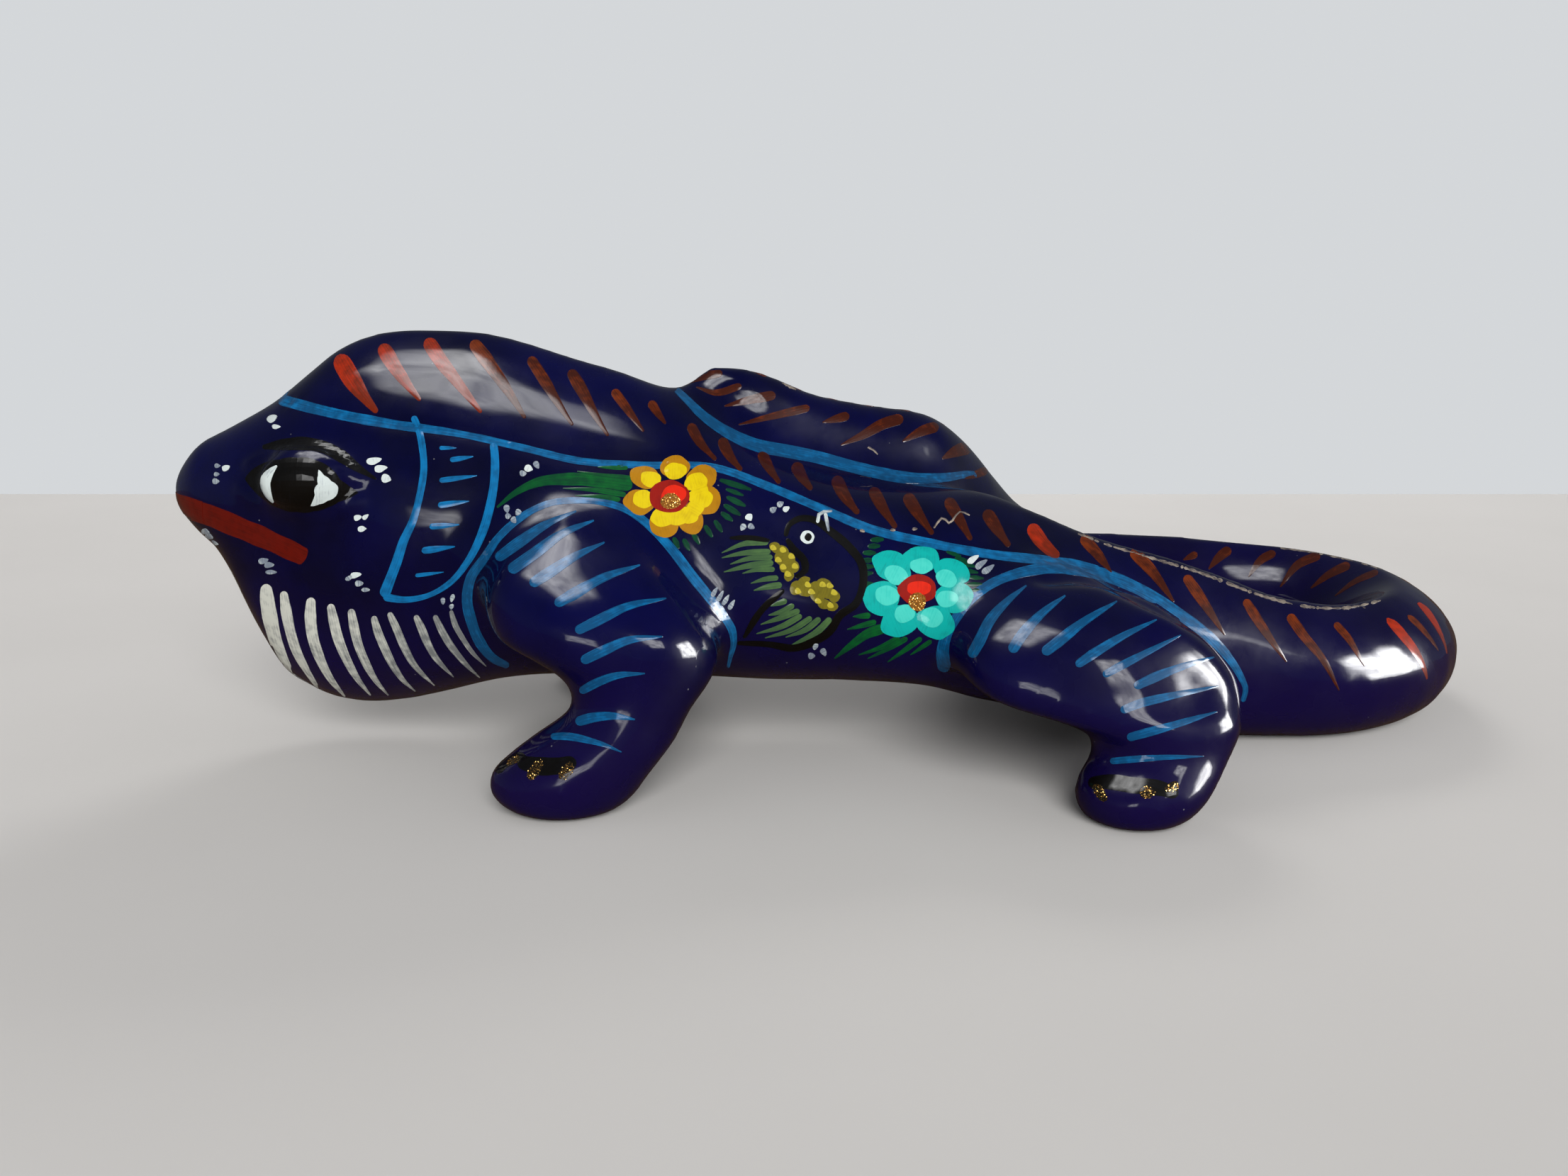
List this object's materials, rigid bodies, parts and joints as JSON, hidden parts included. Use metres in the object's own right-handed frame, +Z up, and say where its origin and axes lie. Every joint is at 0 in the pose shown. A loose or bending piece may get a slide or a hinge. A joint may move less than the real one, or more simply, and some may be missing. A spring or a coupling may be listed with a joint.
{
  "type": "clay lizard figurine",
  "caption": "Hollow painted clay lizard ornament that stands on its legs, with a high crest and a thick tail curled round to rest its tip along the back.",
  "frame": {"origin": "on the table under the middle of the figure's bounding box", "axes": "+X from the snout towards the tail's loop, +Y to the side that the tail curls to, +Z up"},
  "size_m": [0.3882, 0.1896, 0.117],
  "materials": {
    "painted_clay": "gloss varnish over dark blue paint",
    "eye_paint": "gloss varnish over black and white paint"
  },
  "bodies": {
    "root": {"left_body_shell": "painted_clay", "right_body_shell": "painted_clay", "left_front_leg": "painted_clay", "right_front_leg": "painted_clay", "left_hind_leg": "painted_clay", "right_hind_leg": "painted_clay", "tail_outer_shell": "painted_clay", "tail_inner_shell": "painted_clay", "tail_tip": "painted_clay", "left_eye": "eye_paint", "right_eye": "eye_paint"}
  },
  "joints": []
}
